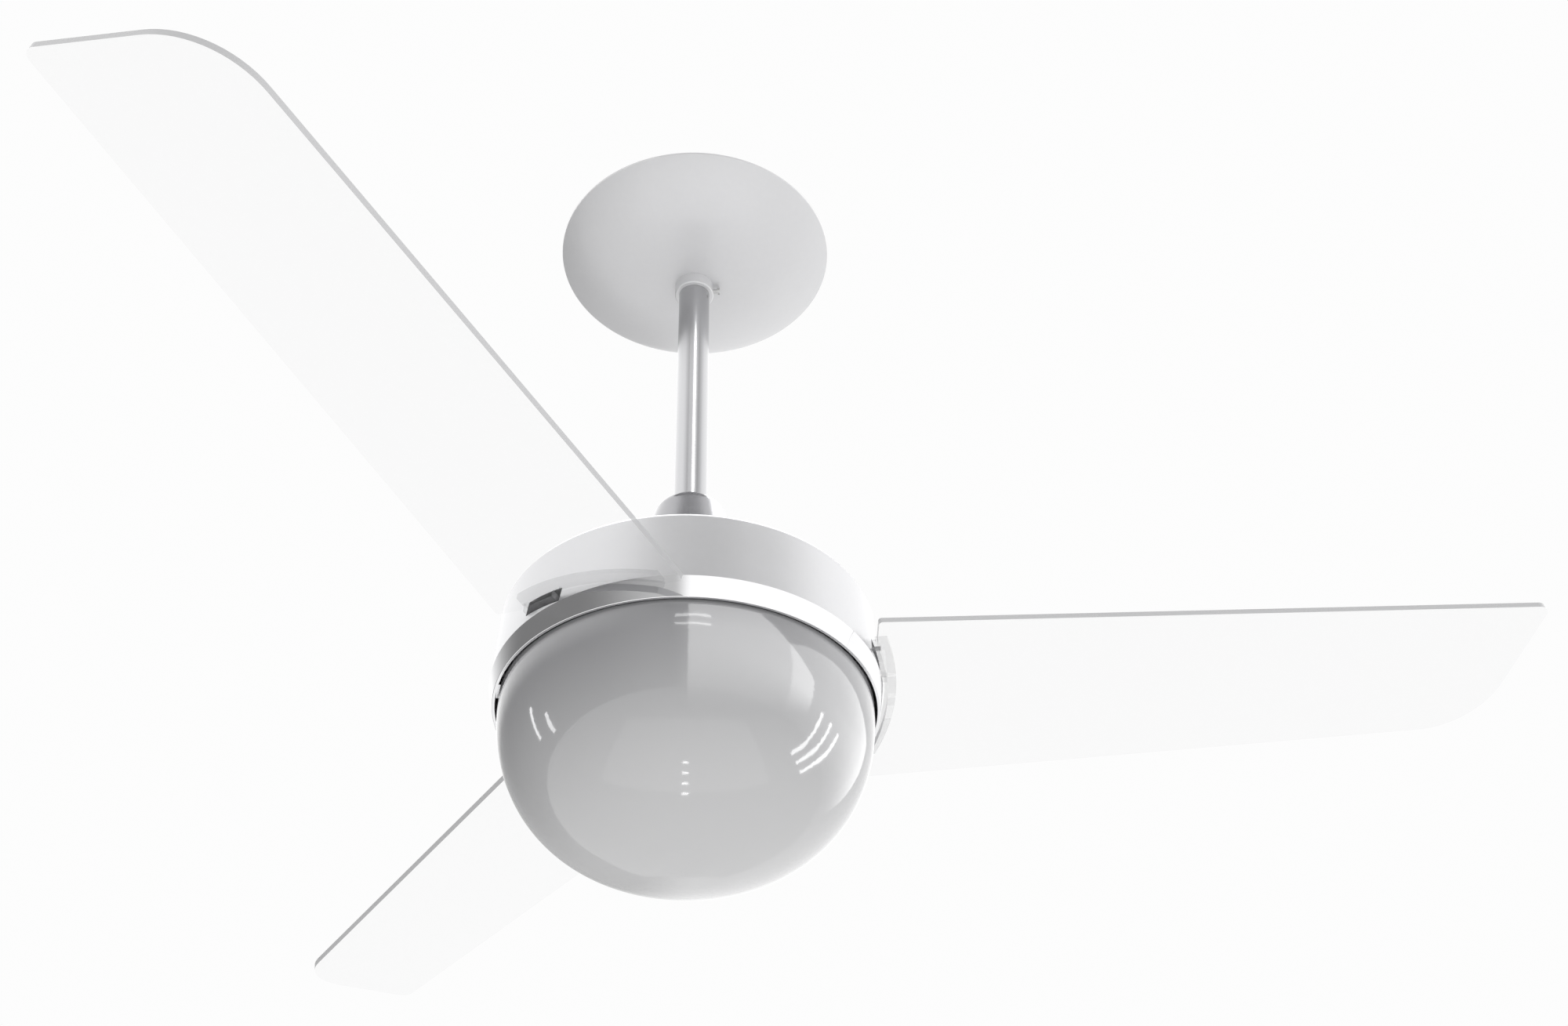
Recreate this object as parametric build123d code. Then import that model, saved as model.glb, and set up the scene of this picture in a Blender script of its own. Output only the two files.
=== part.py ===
from build123d import *
from math import cos, hypot, radians, sin, sqrt
import os

# Ceiling fan with three clear blades and a glass light bowl. Millimetres, +Z up.
# The origin is on the ceiling face, on the fan's axis. Heights named *_h are measured up from the
# plane of the bowl's rim, which hangs hang_drop below the ceiling.

# Overall
hang_drop = 421.0
blade_reach = 535.5
blade_count = 3
blade_turn = 360.0 / blade_count

# Fits and gaps
running = 0.05
loose = 0.3
canopy_ceiling_gap = 1.2

# Ceiling bracket and hanger
strap_length = 112.0
strap_plate = 2.5
strap_slot_r = 2.75
strap_slot_length = 18.0
strap_slot_spacing = 80.0
ear_width = 24.0
ear_inside = 31.0
lead_window = 14.0
hanger_drop = 16.0
hanger_bolt_r = 4.0
hanger_bush_wall = 2.0
hex_head_af = 13.0
hex_head_t = 5.3
nut_t = 6.5
washer_t = 1.6
washer_r = 8.0
pin_r = 1.0

# Downrod and canopy
rod_r = 11.1
rod_wall = 1.5
rod_above_bolt = 7.0
canopy_r = 99.3
canopy_depth = 32.9
canopy_wall = 1.0
collar_wall = 3.0
collar_length = 9.4
collar_screw_r = 1.5
collar_screw_head_r = 2.7
collar_screw_head_t = 1.7
collar_screw_stand = 2.7

# Bowl
glass_r = 114.9
glass_depth = 101.9
glass_wall = 3.0
glass_lip = 1.0
glass_power = 2.33

# Trim ring and drum
ring_gap = 1.7
ring_lip = 1.7
ring_flare = 2.5
ring_h = 13.6
ring_wall = 1.2
drum_step = 0.6
ring_clear = 0.7
drum_taper = 3.0
drum_h = 64.0
drum_edge_r = 3.0
drum_wall = 1.2
lid_rise = 10.0
lid_flat_r = 58.0
lid_hole_r = 27.0
lid_screw_ring = 46.0
tab_width = 14.0
tab_inner_r = 103.0
tab_screw_ring = 109.0
tab_t = 3.0
neck_rise = 6.4

# Blades and blade holders
blade_rise = 4.95
blade_pitch = 10.97
blade_axis_h = 4.8
blade_t = 4.0
blade_half_high = 70.1
blade_taper_high = 0.0367
blade_half_low = 68.9
blade_taper_low = 0.0385
tip_slant = 0.245
tip_high_corner_w = 50.0
tip_high_fillet = 6.0
tip_low_fillet = 50.0
shoulder_s = 115.0
blade_root_gap = 3.0
tongue_mid_w = 32.0
tongue_half = 11.0
tongue_end_s = 94.0
holder_t = 3.0
holder_floor_t = 1.5
holder_side_t = 2.8
holder_reach = 8.2
holder_half = 48.5
holder_gap = 1.0
neck_end_gap = 2.5
neck_inner_s = 88.0
slot_clear = 0.5
blade_screw_s = 104.0
blade_screw_half_pitch = 5.5
blade_screw_r = 1.6
blade_screw_head_r = 2.9
blade_screw_head_t = 2.0
blade_washer_t = 0.6
blade_washer_r = 3.8
pad_inner_s = 58.0
pad_outer_s = 79.0
pad_half = 22.0
pad_screw_s = 68.0
pad_screw_w = 12.0
pad_screw_r = 2.5
pad_screw_head_r = 4.5
pad_screw_head_t = 3.0
pad_seat_h = 16.0

# Motor
motor_r = 80.0
motor_wall = 3.0
motor_plate = 3.5
motor_bottom_h = 24.0
motor_joint_h = 42.0
motor_top_h = 61.5
motor_flange = 6.0
motor_flange_t = 3.0
motor_screw_r = 2.0
motor_screw_count = 6
shaft_r = 8.5
shaft_bore_r = 5.0
bearing_r = 20.0
bearing_t = 12.0
bearing_hub_wall = 4.0
bearing_lip = 2.0
race_t = 3.4
bearing_lip_gap = 0.1
bearing_lip_r = shaft_r + race_t + bearing_lip_gap
ball_count = 8
ball_clear = 0.1
stator_r = 66.0
air_gap = 0.6
stator_h = 34.0
stack_t = 16.0
tooth_count = 12
tooth_width = 9.0
tooth_tip_t = 4.0
tooth_tip_gap = 3.0
yoke_r = 34.0
coil_t = 4.0
coil_overhang = 4.5

# Coupling and its cover
coupling_r = 17.0
coupling_bottom_h = 80.0
coupling_floor = 20.0
coupling_top_h = 163.0
coupling_pin_r = 2.5
coupling_pin_h = 122.0
coupling_screw_down = 15.0
cover_base_r = 54.0
cover_base_h = 77.0
cover_shoulder_r = 24.1
cover_shoulder_h = 160.0
cover_top_h = 168.0
cover_wall = 1.0
grommet_wall = 3.0
capacitor_r = 7.5
capacitor_length = 30.0
capacitor_x = -25.5

# Light kit
pan_top_h = -1.4
pan_t = 1.2
pan_skirt = 8.6
pan_clear = 4.7
nut_af = 27.0
nut_kit_t = 4.0
cluster_flat = 11.0
cluster_top_h = -8.0
cluster_bottom_h = -42.0
cluster_bore_r = 6.0
lamp_h = -27.0
lamp_count = 3
holder_socket_r = 13.0
holder_socket_length = 33.0
lamp_base_r = 7.0
lamp_base_length = 16.0
lamp_bulb_r = 22.5
lamp_neck_r = 9.0
lamp_tip_clear = 5.5
spring_width = 12.0
spring_t = 0.6
spring_clear = 0.4
spring_count = 3
rivet_r = 1.2
rivet_head_r = 2.0
rivet_head_t = 1.0
lead_r = 1.1
lead_offset = 3.85

# Small fasteners
screw_r = 2.0
screw_head_r = 3.8
screw_head_t = 2.2


def z_of(height):
    """Height above the bowl's rim plane, as a Z in the model's frame."""
    return height - hang_drop


def turned(*corners):
    """Solid turned about the fan axis from a closed outline of (radius, height) corners."""
    outline = Polyline(*[(r, 0, z_of(h)) for r, h in corners], close=True)
    return revolve(make_face(outline), Axis.Z)


def upright(radius, bottom_h, top_h, x=0.0, y=0.0):
    """Vertical cylinder between two heights."""
    tall = top_h - bottom_h
    return Pos(x, y, z_of(bottom_h) + tall / 2) * Cylinder(radius, tall)


def tube(outer, inner, bottom_h, top_h):
    return upright(outer, bottom_h, top_h) - upright(inner, bottom_h, top_h)


def crosswise(radius, x_from, x_to, height):
    """Cylinder along X between two distances from the axis."""
    span = x_to - x_from
    return Pos((x_from + x_to) / 2, 0, z_of(height)) * Rot(0, 90, 0) * Cylinder(radius, span)


def hexagon(across_flats, thick):
    return extrude(RegularPolygon(across_flats / 2, 6, major_radius=False), thick)


def around(solid, count, start=0.0):
    """The same solid repeated about the fan axis, as separate solids."""
    turn = 360.0 / count
    return [Rot(0, 0, start + turn * i) * solid for i in range(count)]


def save(name, shape):
    os.makedirs("parts", exist_ok=True)
    solids = []
    for item in shape if isinstance(shape, list) else [shape]:
        solids += item.solids()
    whole = solids[0] if len(solids) == 1 else Compound(children=solids)
    export_step(whole, f"parts/{name}.step")


# Derived sizes
ceiling_h = hang_drop
hanger_h = ceiling_h - hanger_drop
rod_top_h = hanger_h + rod_above_bolt
rod_bottom_h = coupling_bottom_h + coupling_floor
rod_inner_r = rod_r - rod_wall
canopy_rim_h = ceiling_h - canopy_ceiling_gap
canopy_foot_h = canopy_rim_h - canopy_depth
collar_r = rod_r + running + collar_wall
collar_bottom_h = canopy_foot_h - collar_length
ring_lip_r = glass_r + ring_gap
ring_foot_r = ring_lip_r + ring_lip
ring_top_r = ring_foot_r + ring_flare
drum_base_r = ring_top_r - drum_step
drum_top_r = drum_base_r - drum_taper
drum_base_h = ring_h + 0.2
holder_arc_r = ring_top_r + holder_reach
lower_bearing_h = motor_bottom_h + motor_plate - bearing_t + 0.5
upper_bearing_h = motor_top_h - motor_plate - 5.5
pan_r = glass_r - glass_wall - pan_clear
lead_foot_h = cluster_top_h - 10.0
neck_r = drum_base_r - drum_wall - ring_clear
neck_top_h = ring_h + neck_rise
neck_half = tongue_half + running + holder_side_t
neck_floor = -blade_t / 2 - running - holder_floor_t
holder_top = blade_t / 2 + holder_t
rivet_h = pan_top_h - 5.5


# Ceiling bracket: a pressed strap with two ears bent down round the hanger bolt
def ceiling_bracket():
    strap_width = ear_inside + 2 * strap_plate
    strap = extrude(SlotOverall(strap_length, strap_width, rotation=90), -strap_plate)
    slot = SlotOverall(strap_slot_length, 2 * strap_slot_r, rotation=90)
    for side in (-1, 1):
        strap -= extrude(Pos(0, side * strap_slot_spacing / 2, 0) * slot, -strap_plate)
        tall = hanger_drop - strap_plate / 2
        plate = Rectangle(ear_width, tall) + Pos(0, -tall / 2) * Circle(ear_width / 2)
        ear = extrude(plate - Pos(0, -tall / 2) * Circle(hanger_bolt_r + running), strap_plate)
        x_start = ear_inside / 2 if side > 0 else -ear_inside / 2 - strap_plate
        strap += Pos(x_start, 0, -strap_plate / 2 - tall / 2) * (Plane.YZ * ear)
    window = Pos(0, 0, -strap_plate / 2) * Box(lead_window, lead_window, 2 * strap_plate)
    save("ceiling_bracket", strap - window)


def hanger_hardware():
    outer = ear_inside / 2 + strap_plate
    seat = outer + washer_t
    tail = seat + nut_t + 5.0
    shank = crosswise(hanger_bolt_r, -seat, tail, hanger_h)
    pin_x = seat + nut_t + 2.0
    shank -= Pos(pin_x, 0, z_of(hanger_h)) * Cylinder(pin_r + running, 4 * hanger_bolt_r)
    head = Pos(-seat - hex_head_t, 0, z_of(hanger_h)) * Rot(0, 90, 0) * hexagon(hex_head_af, hex_head_t)
    save("hanger_bolt", shank + head)
    nut = Pos(seat, 0, z_of(hanger_h)) * Rot(0, 90, 0) * hexagon(hex_head_af, nut_t)
    save("hanger_nut", nut - crosswise(hanger_bolt_r, 0, tail, hanger_h))
    washer = crosswise(washer_r, outer, seat, hanger_h) - crosswise(hanger_bolt_r, outer, seat, hanger_h)
    save("hanger_washers", [washer, Rot(0, 0, 180) * washer])
    leg = Pos(pin_x, 0, z_of(hanger_h)) * Cylinder(pin_r, 3.2 * hanger_bolt_r)
    eye = Pos(pin_x, 0, z_of(hanger_h) + 1.6 * hanger_bolt_r + 1.6) * Rot(0, 90, 0) * Torus(2.2, pin_r)
    save("hanger_split_pin", leg + eye)


# Terminal block under the strap, for the supply leads
def terminal_block():
    block_depth = 15.0
    block_y = -max(ear_width / 2, rod_r + loose) - 1.0 - block_depth / 2
    block_top = -strap_plate
    body = Pos(0, block_y, block_top - 6.0) * Box(32, block_depth, 12)
    for x in (-10, 0, 10):
        body -= Pos(x, block_y, block_top - 10.0) * Cylinder(2.6, 4.0)
        body -= Pos(x, block_y, block_top - 6.5) * Rot(90, 0, 0) * Cylinder(1.8, block_depth + 1)
    save("terminal_block", body)
    screw = Pos(0, block_y, block_top - 9.5) * Cylinder(2.5, 3.0)
    save("terminal_screws", [Pos(x, 0, 0) * screw for x in (-10, 0, 10)])


# Downrod with its rubber hanger bush and the supply leads inside
def downrod():
    rod = tube(rod_r, rod_inner_r, rod_bottom_h, rod_top_h)
    bush_r = hanger_bolt_r + running + hanger_bush_wall
    rod -= crosswise(bush_r, -2 * rod_r, 2 * rod_r, hanger_h)
    rod -= crosswise(coupling_pin_r + running, -2 * rod_r, 2 * rod_r, coupling_pin_h)
    save("downrod", rod)
    half = ear_inside / 2 - loose
    bush = crosswise(bush_r, -half, half, hanger_h)
    save("hanger_bush", bush - crosswise(hanger_bolt_r + running, -half, half, hanger_h))
    top_h = hanger_h - bush_r - 6.0
    leads = [upright(lead_r, lead_foot_h, top_h, y=side * lead_offset) for side in (-1, 1)]
    save("supply_leads", leads)


# Canopy: a spun dish that closes against the ceiling, carried by a collar on the rod
def canopy_dish(rim_r, foot_r, rim_h, foot_h):
    """Dished outline from the foot flat up to the rim, as one arc."""
    chord_mid = ((rim_r + foot_r) / 2, (rim_h + foot_h) / 2)
    chord = hypot(rim_r - foot_r, rim_h - foot_h)
    bulge = 0.088 * chord
    across = ((rim_h - foot_h) / chord, -(rim_r - foot_r) / chord)
    middle = (chord_mid[0] + bulge * across[0], 0, z_of(chord_mid[1] + bulge * across[1]))
    return ThreePointArc((foot_r, 0, z_of(foot_h)), middle, (rim_r, 0, z_of(rim_h)))


def canopy():
    hole_r = rod_r + 1.1
    inner_foot_h = canopy_foot_h + canopy_wall
    outer = canopy_dish(canopy_r, collar_r + 1.0, canopy_rim_h - 1.5, canopy_foot_h)
    inner = canopy_dish(canopy_r - canopy_wall, collar_r + 1.0, canopy_rim_h - 1.5, inner_foot_h)
    outline = [outer, inner]
    outline.append(Polyline(outer @ 1, (canopy_r, 0, z_of(canopy_rim_h)),
                            (canopy_r - canopy_wall, 0, z_of(canopy_rim_h)), inner @ 1))
    outline.append(Polyline(outer @ 0, (hole_r, 0, z_of(canopy_foot_h)),
                            (hole_r, 0, z_of(inner_foot_h)), inner @ 0))
    save("canopy", revolve(make_face(outline), Axis.Z))
    collar = tube(collar_r, rod_r + running, collar_bottom_h, canopy_foot_h)
    lower_edges = collar.edges().filter_by(GeomType.CIRCLE).group_by(Axis.Z)[0]
    collar = chamfer(lower_edges.sort_by(SortBy.LENGTH)[-1], 0.6)
    screw_h = collar_bottom_h + 0.56 * collar_length
    start = rod_r + running
    collar -= crosswise(collar_screw_r, start - 1, collar_r + 1, screw_h)
    save("canopy_collar", collar)
    end = collar_r + collar_screw_stand
    screw = crosswise(collar_screw_r, start, end, screw_h)
    head = crosswise(collar_screw_head_r, end, end + collar_screw_head_t, screw_h)
    slot = Pos(end + collar_screw_head_t, 0, z_of(screw_h)) * Box(1.4, 0.9, 3 * collar_screw_head_r)
    save("collar_set_screw", screw + (head - slot))


# Rod coupling: joins the downrod to the fixed hollow motor shaft
def coupling():
    body = upright(coupling_r, coupling_bottom_h, coupling_top_h)
    body -= upright(rod_r, rod_bottom_h, coupling_top_h)
    body -= upright(shaft_r, coupling_bottom_h, rod_bottom_h)
    body -= crosswise(coupling_pin_r, -2 * coupling_r, 2 * coupling_r, coupling_pin_h)
    set_h = coupling_bottom_h + coupling_floor / 2
    body -= crosswise(screw_r, 0, 2 * coupling_r, set_h)
    body -= crosswise(screw_r, 0, 2 * coupling_r, coupling_top_h - coupling_screw_down)
    save("rod_coupling", body)
    grub = crosswise(screw_r, shaft_r, coupling_r + 1.0, set_h)
    rod_grub = crosswise(screw_r, rod_r, coupling_r + 1.0, coupling_top_h - coupling_screw_down)
    save("coupling_set_screws", [grub, rod_grub])
    reach = coupling_r + 5.0
    pin = crosswise(coupling_pin_r, -coupling_r - 1.0, reach, coupling_pin_h)
    pin += crosswise(coupling_pin_r + 2.0, -coupling_r - 3.0, -coupling_r, coupling_pin_h)
    clip_x = coupling_r + 2.6
    pin -= Pos(clip_x, 0, z_of(coupling_pin_h)) * Cylinder(pin_r + running, 6 * coupling_pin_r)
    save("coupling_pin", pin)
    leg = Pos(clip_x, 0, z_of(coupling_pin_h)) * Cylinder(pin_r, 5 * coupling_pin_r)
    bow_z = z_of(coupling_pin_h) + 2.5 * coupling_pin_r + 2.4
    bow = Pos(clip_x, 0, bow_z) * Rot(0, 90, 0) * Torus(3.0, pin_r)
    save("coupling_clip", leg + bow)


def coupling_cover():
    hole_r = rod_r + running + grommet_wall
    base_top_h = cover_base_h + 3.0
    side_mid = (cover_base_r + cover_shoulder_r) / 2 - 1.5
    shoulder_r = cover_shoulder_r - 6.0

    def wall_line(inset):
        foot = (cover_base_r - inset, 0, z_of(base_top_h))
        middle = (side_mid - inset, 0, z_of((base_top_h + cover_shoulder_h) / 2))
        edge = (cover_shoulder_r - inset, 0, z_of(cover_shoulder_h))
        side = ThreePointArc(foot, middle, edge)
        crown = TangentArc(edge, (shoulder_r, 0, z_of(cover_top_h - inset)), tangent=side % 1)
        return side, crown

    outer, outer_crown = wall_line(0.0)
    inner, inner_crown = wall_line(cover_wall)
    foot = Polyline(outer @ 0, (cover_base_r, 0, z_of(cover_base_h)),
                    (cover_base_r - cover_wall, 0, z_of(cover_base_h)), inner @ 0)
    top = Polyline(outer_crown @ 1, (hole_r, 0, (outer_crown @ 1).Z), (hole_r, 0, (inner_crown @ 1).Z),
                   inner_crown @ 1)
    save("coupling_cover", revolve(make_face([outer, outer_crown, inner, inner_crown, foot, top]), Axis.Z))
    crown_h = (outer_crown @ 1).Z + hang_drop
    low_h = (inner_crown @ 1).Z + hang_drop
    bore = rod_r + running
    lip = hole_r + 1.6
    grommet = turned((bore, coupling_top_h + 0.2), (lip, coupling_top_h + 0.2), (lip, low_h), (hole_r, low_h),
                     (hole_r, crown_h), (bore, crown_h))
    save("cover_grommet", grommet)


# Motor: fixed shaft and stator inside a shell that turns with the blades
def motor_shaft():
    shaft = tube(shaft_r, shaft_bore_r, cluster_top_h - 8.0, rod_bottom_h)
    save("motor_shaft", shaft)


def bearing(name, bottom_h):
    top_h = bottom_h + bearing_t
    mid_h = (bottom_h + top_h) / 2
    inner_r, outer_r = shaft_r + race_t, bearing_r - race_t
    ball_r = (outer_r - inner_r) / 2 + 0.8
    track_r = (inner_r + outer_r) / 2
    groove = Pos(0, 0, z_of(mid_h)) * Torus(track_r, ball_r + ball_clear)
    save(f"{name}_bearing_inner", tube(inner_r, shaft_r, bottom_h, top_h) - groove)
    save(f"{name}_bearing_outer", tube(bearing_r, outer_r, bottom_h, top_h) - groove)
    return around(Pos(track_r, 0, z_of(mid_h)) * Sphere(ball_r), ball_count)


def stator():
    core = upright(yoke_r, stator_h, stator_h + stack_t)
    mid_z = z_of(stator_h + stack_t / 2)
    tip_inner = stator_r - tooth_tip_t
    tooth = Pos((yoke_r + tip_inner) / 2, 0, mid_z) * Box(tip_inner - yoke_r + 4.0, tooth_width, stack_t)
    tips = tube(stator_r, tip_inner, stator_h, stator_h + stack_t)
    turn = 360.0 / tooth_count
    gap = Pos(stator_r - tooth_tip_t / 2, 0, mid_z) * Box(4 * tooth_tip_t, tooth_tip_gap, 2 * stack_t)
    for i in range(tooth_count):
        core += Rot(0, 0, turn * i) * tooth
        tips -= Rot(0, 0, turn * (i + 0.5)) * gap
    core = (core + tips) - upright(shaft_r, stator_h, stator_h + stack_t)
    save("stator_core", core)
    coil_inner = yoke_r + 2.0
    coil_outer = tip_inner - 1.0
    reach = coil_outer - coil_inner
    coil = Box(reach, tooth_width + 2 * coil_t, stack_t + 2 * coil_overhang)
    coil = fillet(coil.edges().filter_by(Axis.X), coil_t * 0.7)
    coil -= Box(2 * reach, tooth_width, stack_t)
    coil = Pos((coil_inner + coil_outer) / 2, 0, mid_z) * coil
    sector_half = coil_inner * sin(radians(turn / 2)) - 0.3
    wedge = Pos(0, 0, mid_z) * extrude(
        Polygon((0, 0), (2 * stator_r, -2 * stator_r * sector_half / coil_inner),
                (2 * stator_r, 2 * stator_r * sector_half / coil_inner), align=None),
        4 * stack_t, both=True)
    save("stator_windings", around(coil & wedge, tooth_count))


def motor_shells():
    inner_r = motor_r - motor_wall
    flange_r = motor_r + motor_flange
    hub_r = bearing_r + bearing_hub_wall
    hub_bottom_h = lower_bearing_h - bearing_lip
    floor_h = motor_bottom_h + motor_plate
    bottom = turned(
        (bearing_lip_r, hub_bottom_h), (hub_r, hub_bottom_h), (hub_r, motor_bottom_h),
        (motor_r, motor_bottom_h), (motor_r, motor_joint_h - motor_flange_t),
        (flange_r, motor_joint_h - motor_flange_t),
        (flange_r, motor_joint_h), (inner_r, motor_joint_h), (inner_r, floor_h), (bearing_r, floor_h),
        (bearing_r, lower_bearing_h), (bearing_lip_r, lower_bearing_h))
    seat_h = upper_bearing_h + bearing_t
    roof_h = motor_top_h - motor_plate
    top = turned(
        (bearing_r, upper_bearing_h), (hub_r, upper_bearing_h), (hub_r, roof_h), (inner_r, roof_h),
        (inner_r, motor_joint_h), (flange_r, motor_joint_h), (flange_r, motor_joint_h + motor_flange_t),
        (motor_r, motor_joint_h + motor_flange_t), (motor_r, motor_top_h), (hub_r, motor_top_h),
        (hub_r, seat_h + bearing_lip), (bearing_lip_r, seat_h + bearing_lip), (bearing_lip_r, seat_h),
        (bearing_r, seat_h))
    screw_ring = motor_r + motor_flange / 2
    low_h, high_h = motor_joint_h - motor_flange_t, motor_joint_h + motor_flange_t
    hole = upright(motor_screw_r, low_h, high_h, x=screw_ring)
    for item in around(hole, motor_screw_count, start=30):
        bottom -= item
        top -= item
    boss_top_h = drum_h + lid_rise - drum_wall
    boss = upright(6.0, motor_top_h - 1.0, boss_top_h, x=lid_screw_ring)
    tap = upright(screw_r, motor_top_h, boss_top_h, x=lid_screw_ring)
    for item in around(boss, blade_count, start=60):
        top += item
    for item in around(tap, blade_count, start=60):
        top -= item
    pad_hole = [upright(pad_screw_r, motor_bottom_h, floor_h, x=pad_screw_s, y=side * pad_screw_w)
                for side in (-1, 1)]
    for hole_at in pad_hole:
        for item in around(hole_at, blade_count):
            bottom -= item
    save("motor_bottom_shell", bottom)
    save("motor_top_shell", top)
    screw = upright(motor_screw_r, low_h, high_h + 1.0, x=screw_ring)
    screw += upright(screw_head_r - 0.9, low_h - screw_head_t, low_h, x=screw_ring)
    save("motor_shell_screws", around(screw, motor_screw_count, start=30))
    ring_bottom = stator_h - 2.0
    ring = tube(inner_r, stator_r + air_gap, ring_bottom, stator_h + stack_t + 2.0)
    save("rotor_core", ring)


def start_capacitor():
    bottom_h = coupling_bottom_h + 4.0
    top_h = bottom_h + capacitor_length
    body = upright(capacitor_r, bottom_h, top_h, x=capacitor_x)
    body = fillet(body.edges().filter_by(GeomType.CIRCLE), 1.0)
    save("run_capacitor", body)
    band = upright(capacitor_r + 0.8, bottom_h + 12, bottom_h + 18, x=capacitor_x)
    gap = -coupling_r - capacitor_x - capacitor_r
    middle = z_of(bottom_h + 15)
    band += Pos(-coupling_r - gap / 2 - 0.4, 0, middle) * Box(gap + 1.0, 8.0, 6.0)
    band -= upright(capacitor_r, bottom_h, top_h, x=capacitor_x)
    save("capacitor_clip", band - upright(coupling_r, coupling_bottom_h, coupling_top_h))


# Turning housing: a spun drum with the trim ring closing its lower edge
def outline_face(corners, rounds):
    """Closed (radius, height) outline with the numbered corners rounded."""
    points = [(r, 0, z_of(h)) for r, h in corners]
    face = make_face(Polyline(*points, close=True)).faces()[0]
    for index, radius in rounds:
        corner = face.vertices().sort_by_distance(points[index])[0]
        face = face.fillet_2d(radius, [corner])
    return face


def blade_frame():
    """Plane of the first blade: X runs out along it, Y towards its low edge, Z is its top side."""
    rise, pitch = radians(blade_rise), radians(blade_pitch)
    along = (cos(rise), 0, sin(rise))
    normal = (-sin(rise) * cos(pitch), sin(pitch), cos(rise) * cos(pitch))
    return Plane(origin=(0, 0, z_of(blade_axis_h)), x_dir=along, z_dir=normal)


def blade_box(s_from, s_to, half, low, high, mid_w=0.0):
    """Block in the first blade's plane, between two distances out and two levels."""
    block = Box(s_to - s_from, 2 * half, high - low)
    return blade_frame() * (Pos((s_from + s_to) / 2, -mid_w, (low + high) / 2) * block)


def blade_slot():
    """Opening in the housing wall round the holder's neck."""
    low, high = neck_floor - slot_clear, holder_top + slot_clear
    return blade_box(neck_inner_s, 2 * ring_top_r, neck_half + slot_clear, low, high, tongue_mid_w)


def drum_housing():
    crown_h = drum_h + lid_rise
    lid_edge_r = drum_top_r - 2 * drum_edge_r
    wall = drum_wall
    face = outline_face([
        (drum_base_r, drum_base_h), (drum_top_r, drum_h), (lid_edge_r, drum_h), (lid_flat_r, crown_h),
        (lid_hole_r, crown_h), (lid_hole_r, crown_h - wall), (lid_flat_r, crown_h - wall),
        (lid_edge_r, drum_h - wall), (drum_top_r - wall, drum_h - wall), (drum_base_r - wall, drum_base_h)],
        [(1, drum_edge_r), (3, 12.0), (6, 12.0 + wall), (8, drum_edge_r - wall)])
    drum = revolve(face, Axis.Z)
    reach = drum_base_r - 1.3 - tab_inner_r
    tab = Pos(tab_inner_r + reach / 2, 0, z_of(neck_top_h + tab_t / 2)) * Box(reach, tab_width, tab_t)
    tap = upright(screw_r, neck_top_h, neck_top_h + tab_t, x=tab_screw_ring)
    lid_hole = upright(screw_r, crown_h - 2 * wall, crown_h, x=lid_screw_ring)
    for item in around(tab, blade_count, start=60):
        drum += item
    for item in around(tap, blade_count, start=60) + around(lid_hole, blade_count, start=60):
        drum -= item
    for item in around(blade_slot(), blade_count):
        drum -= item
    save("drum_housing", drum)
    head_h = crown_h + screw_head_t
    screw = upright(screw_r, crown_h - wall - 6.0, crown_h, x=lid_screw_ring)
    screw += upright(screw_head_r, crown_h, head_h, x=lid_screw_ring)
    save("drum_screws", around(screw, blade_count, start=60))


def trim_ring():
    lip_h = 1.5
    face = outline_face([
        (ring_lip_r, 0), (ring_foot_r, 0), (ring_top_r, ring_h), (neck_r, ring_h), (neck_r, neck_top_h),
        (neck_r - ring_wall, neck_top_h), (neck_r - ring_wall, lip_h), (ring_lip_r, lip_h)],
        [(1, 0.4)])
    ring = revolve(face, Axis.Z)
    reach = neck_r - 0.6 - tab_inner_r
    lug = Pos(tab_inner_r + reach / 2, 0, z_of(neck_top_h - tab_t / 2)) * Box(reach, tab_width, tab_t)
    hole = upright(screw_r, neck_top_h - tab_t, neck_top_h, x=tab_screw_ring)
    for item in around(lug, blade_count, start=60):
        ring += item
    for item in around(hole, blade_count, start=60):
        ring -= item
    for item in around(blade_slot(), blade_count):
        ring -= item
    save("trim_ring", ring)
    seat_h = neck_top_h - tab_t
    screw = upright(screw_r, seat_h, neck_top_h + tab_t, x=tab_screw_ring)
    screw += upright(screw_head_r, seat_h - screw_head_t, seat_h, x=tab_screw_ring)
    save("trim_ring_screws", around(screw, blade_count, start=60))


# Blades: flat clear sheet with a tongue that slides into a moulded holder, held by two screws
def blade_outline():
    def high_w(s):
        return blade_half_high - blade_taper_high * s

    def low_w(s):
        return blade_half_low - blade_taper_low * s

    high_s = blade_reach + tip_slant * (blade_half_high - tip_high_corner_w)
    high_s /= 1 + tip_slant * blade_taper_high
    low_s = blade_reach - tip_slant * (blade_half_low + tip_high_corner_w)
    low_s /= 1 - tip_slant * blade_taper_low
    corners = [(shoulder_s, -high_w(shoulder_s)), (high_s, -high_w(high_s)), (low_s, low_w(low_s)),
               (shoulder_s, low_w(shoulder_s))]
    rounds = [(0, 2.0), (1, tip_high_fillet), (2, tip_low_fillet), (3, 2.0)]
    face = make_face(Polyline(*corners, close=True)).faces()[0]
    for index, radius in rounds:
        corner = face.vertices().sort_by_distance((*corners[index], 0))[0]
        face = face.fillet_2d(radius, [corner])
    return face


def about_axis(radius):
    """Upright cylinder tall enough to cut a blade or its holder."""
    return upright(radius, -hang_drop / 4, hang_drop / 4)


def blade_screw_places():
    return [(blade_screw_s, -tongue_mid_w + side * blade_screw_half_pitch) for side in (-1, 1)]


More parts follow.
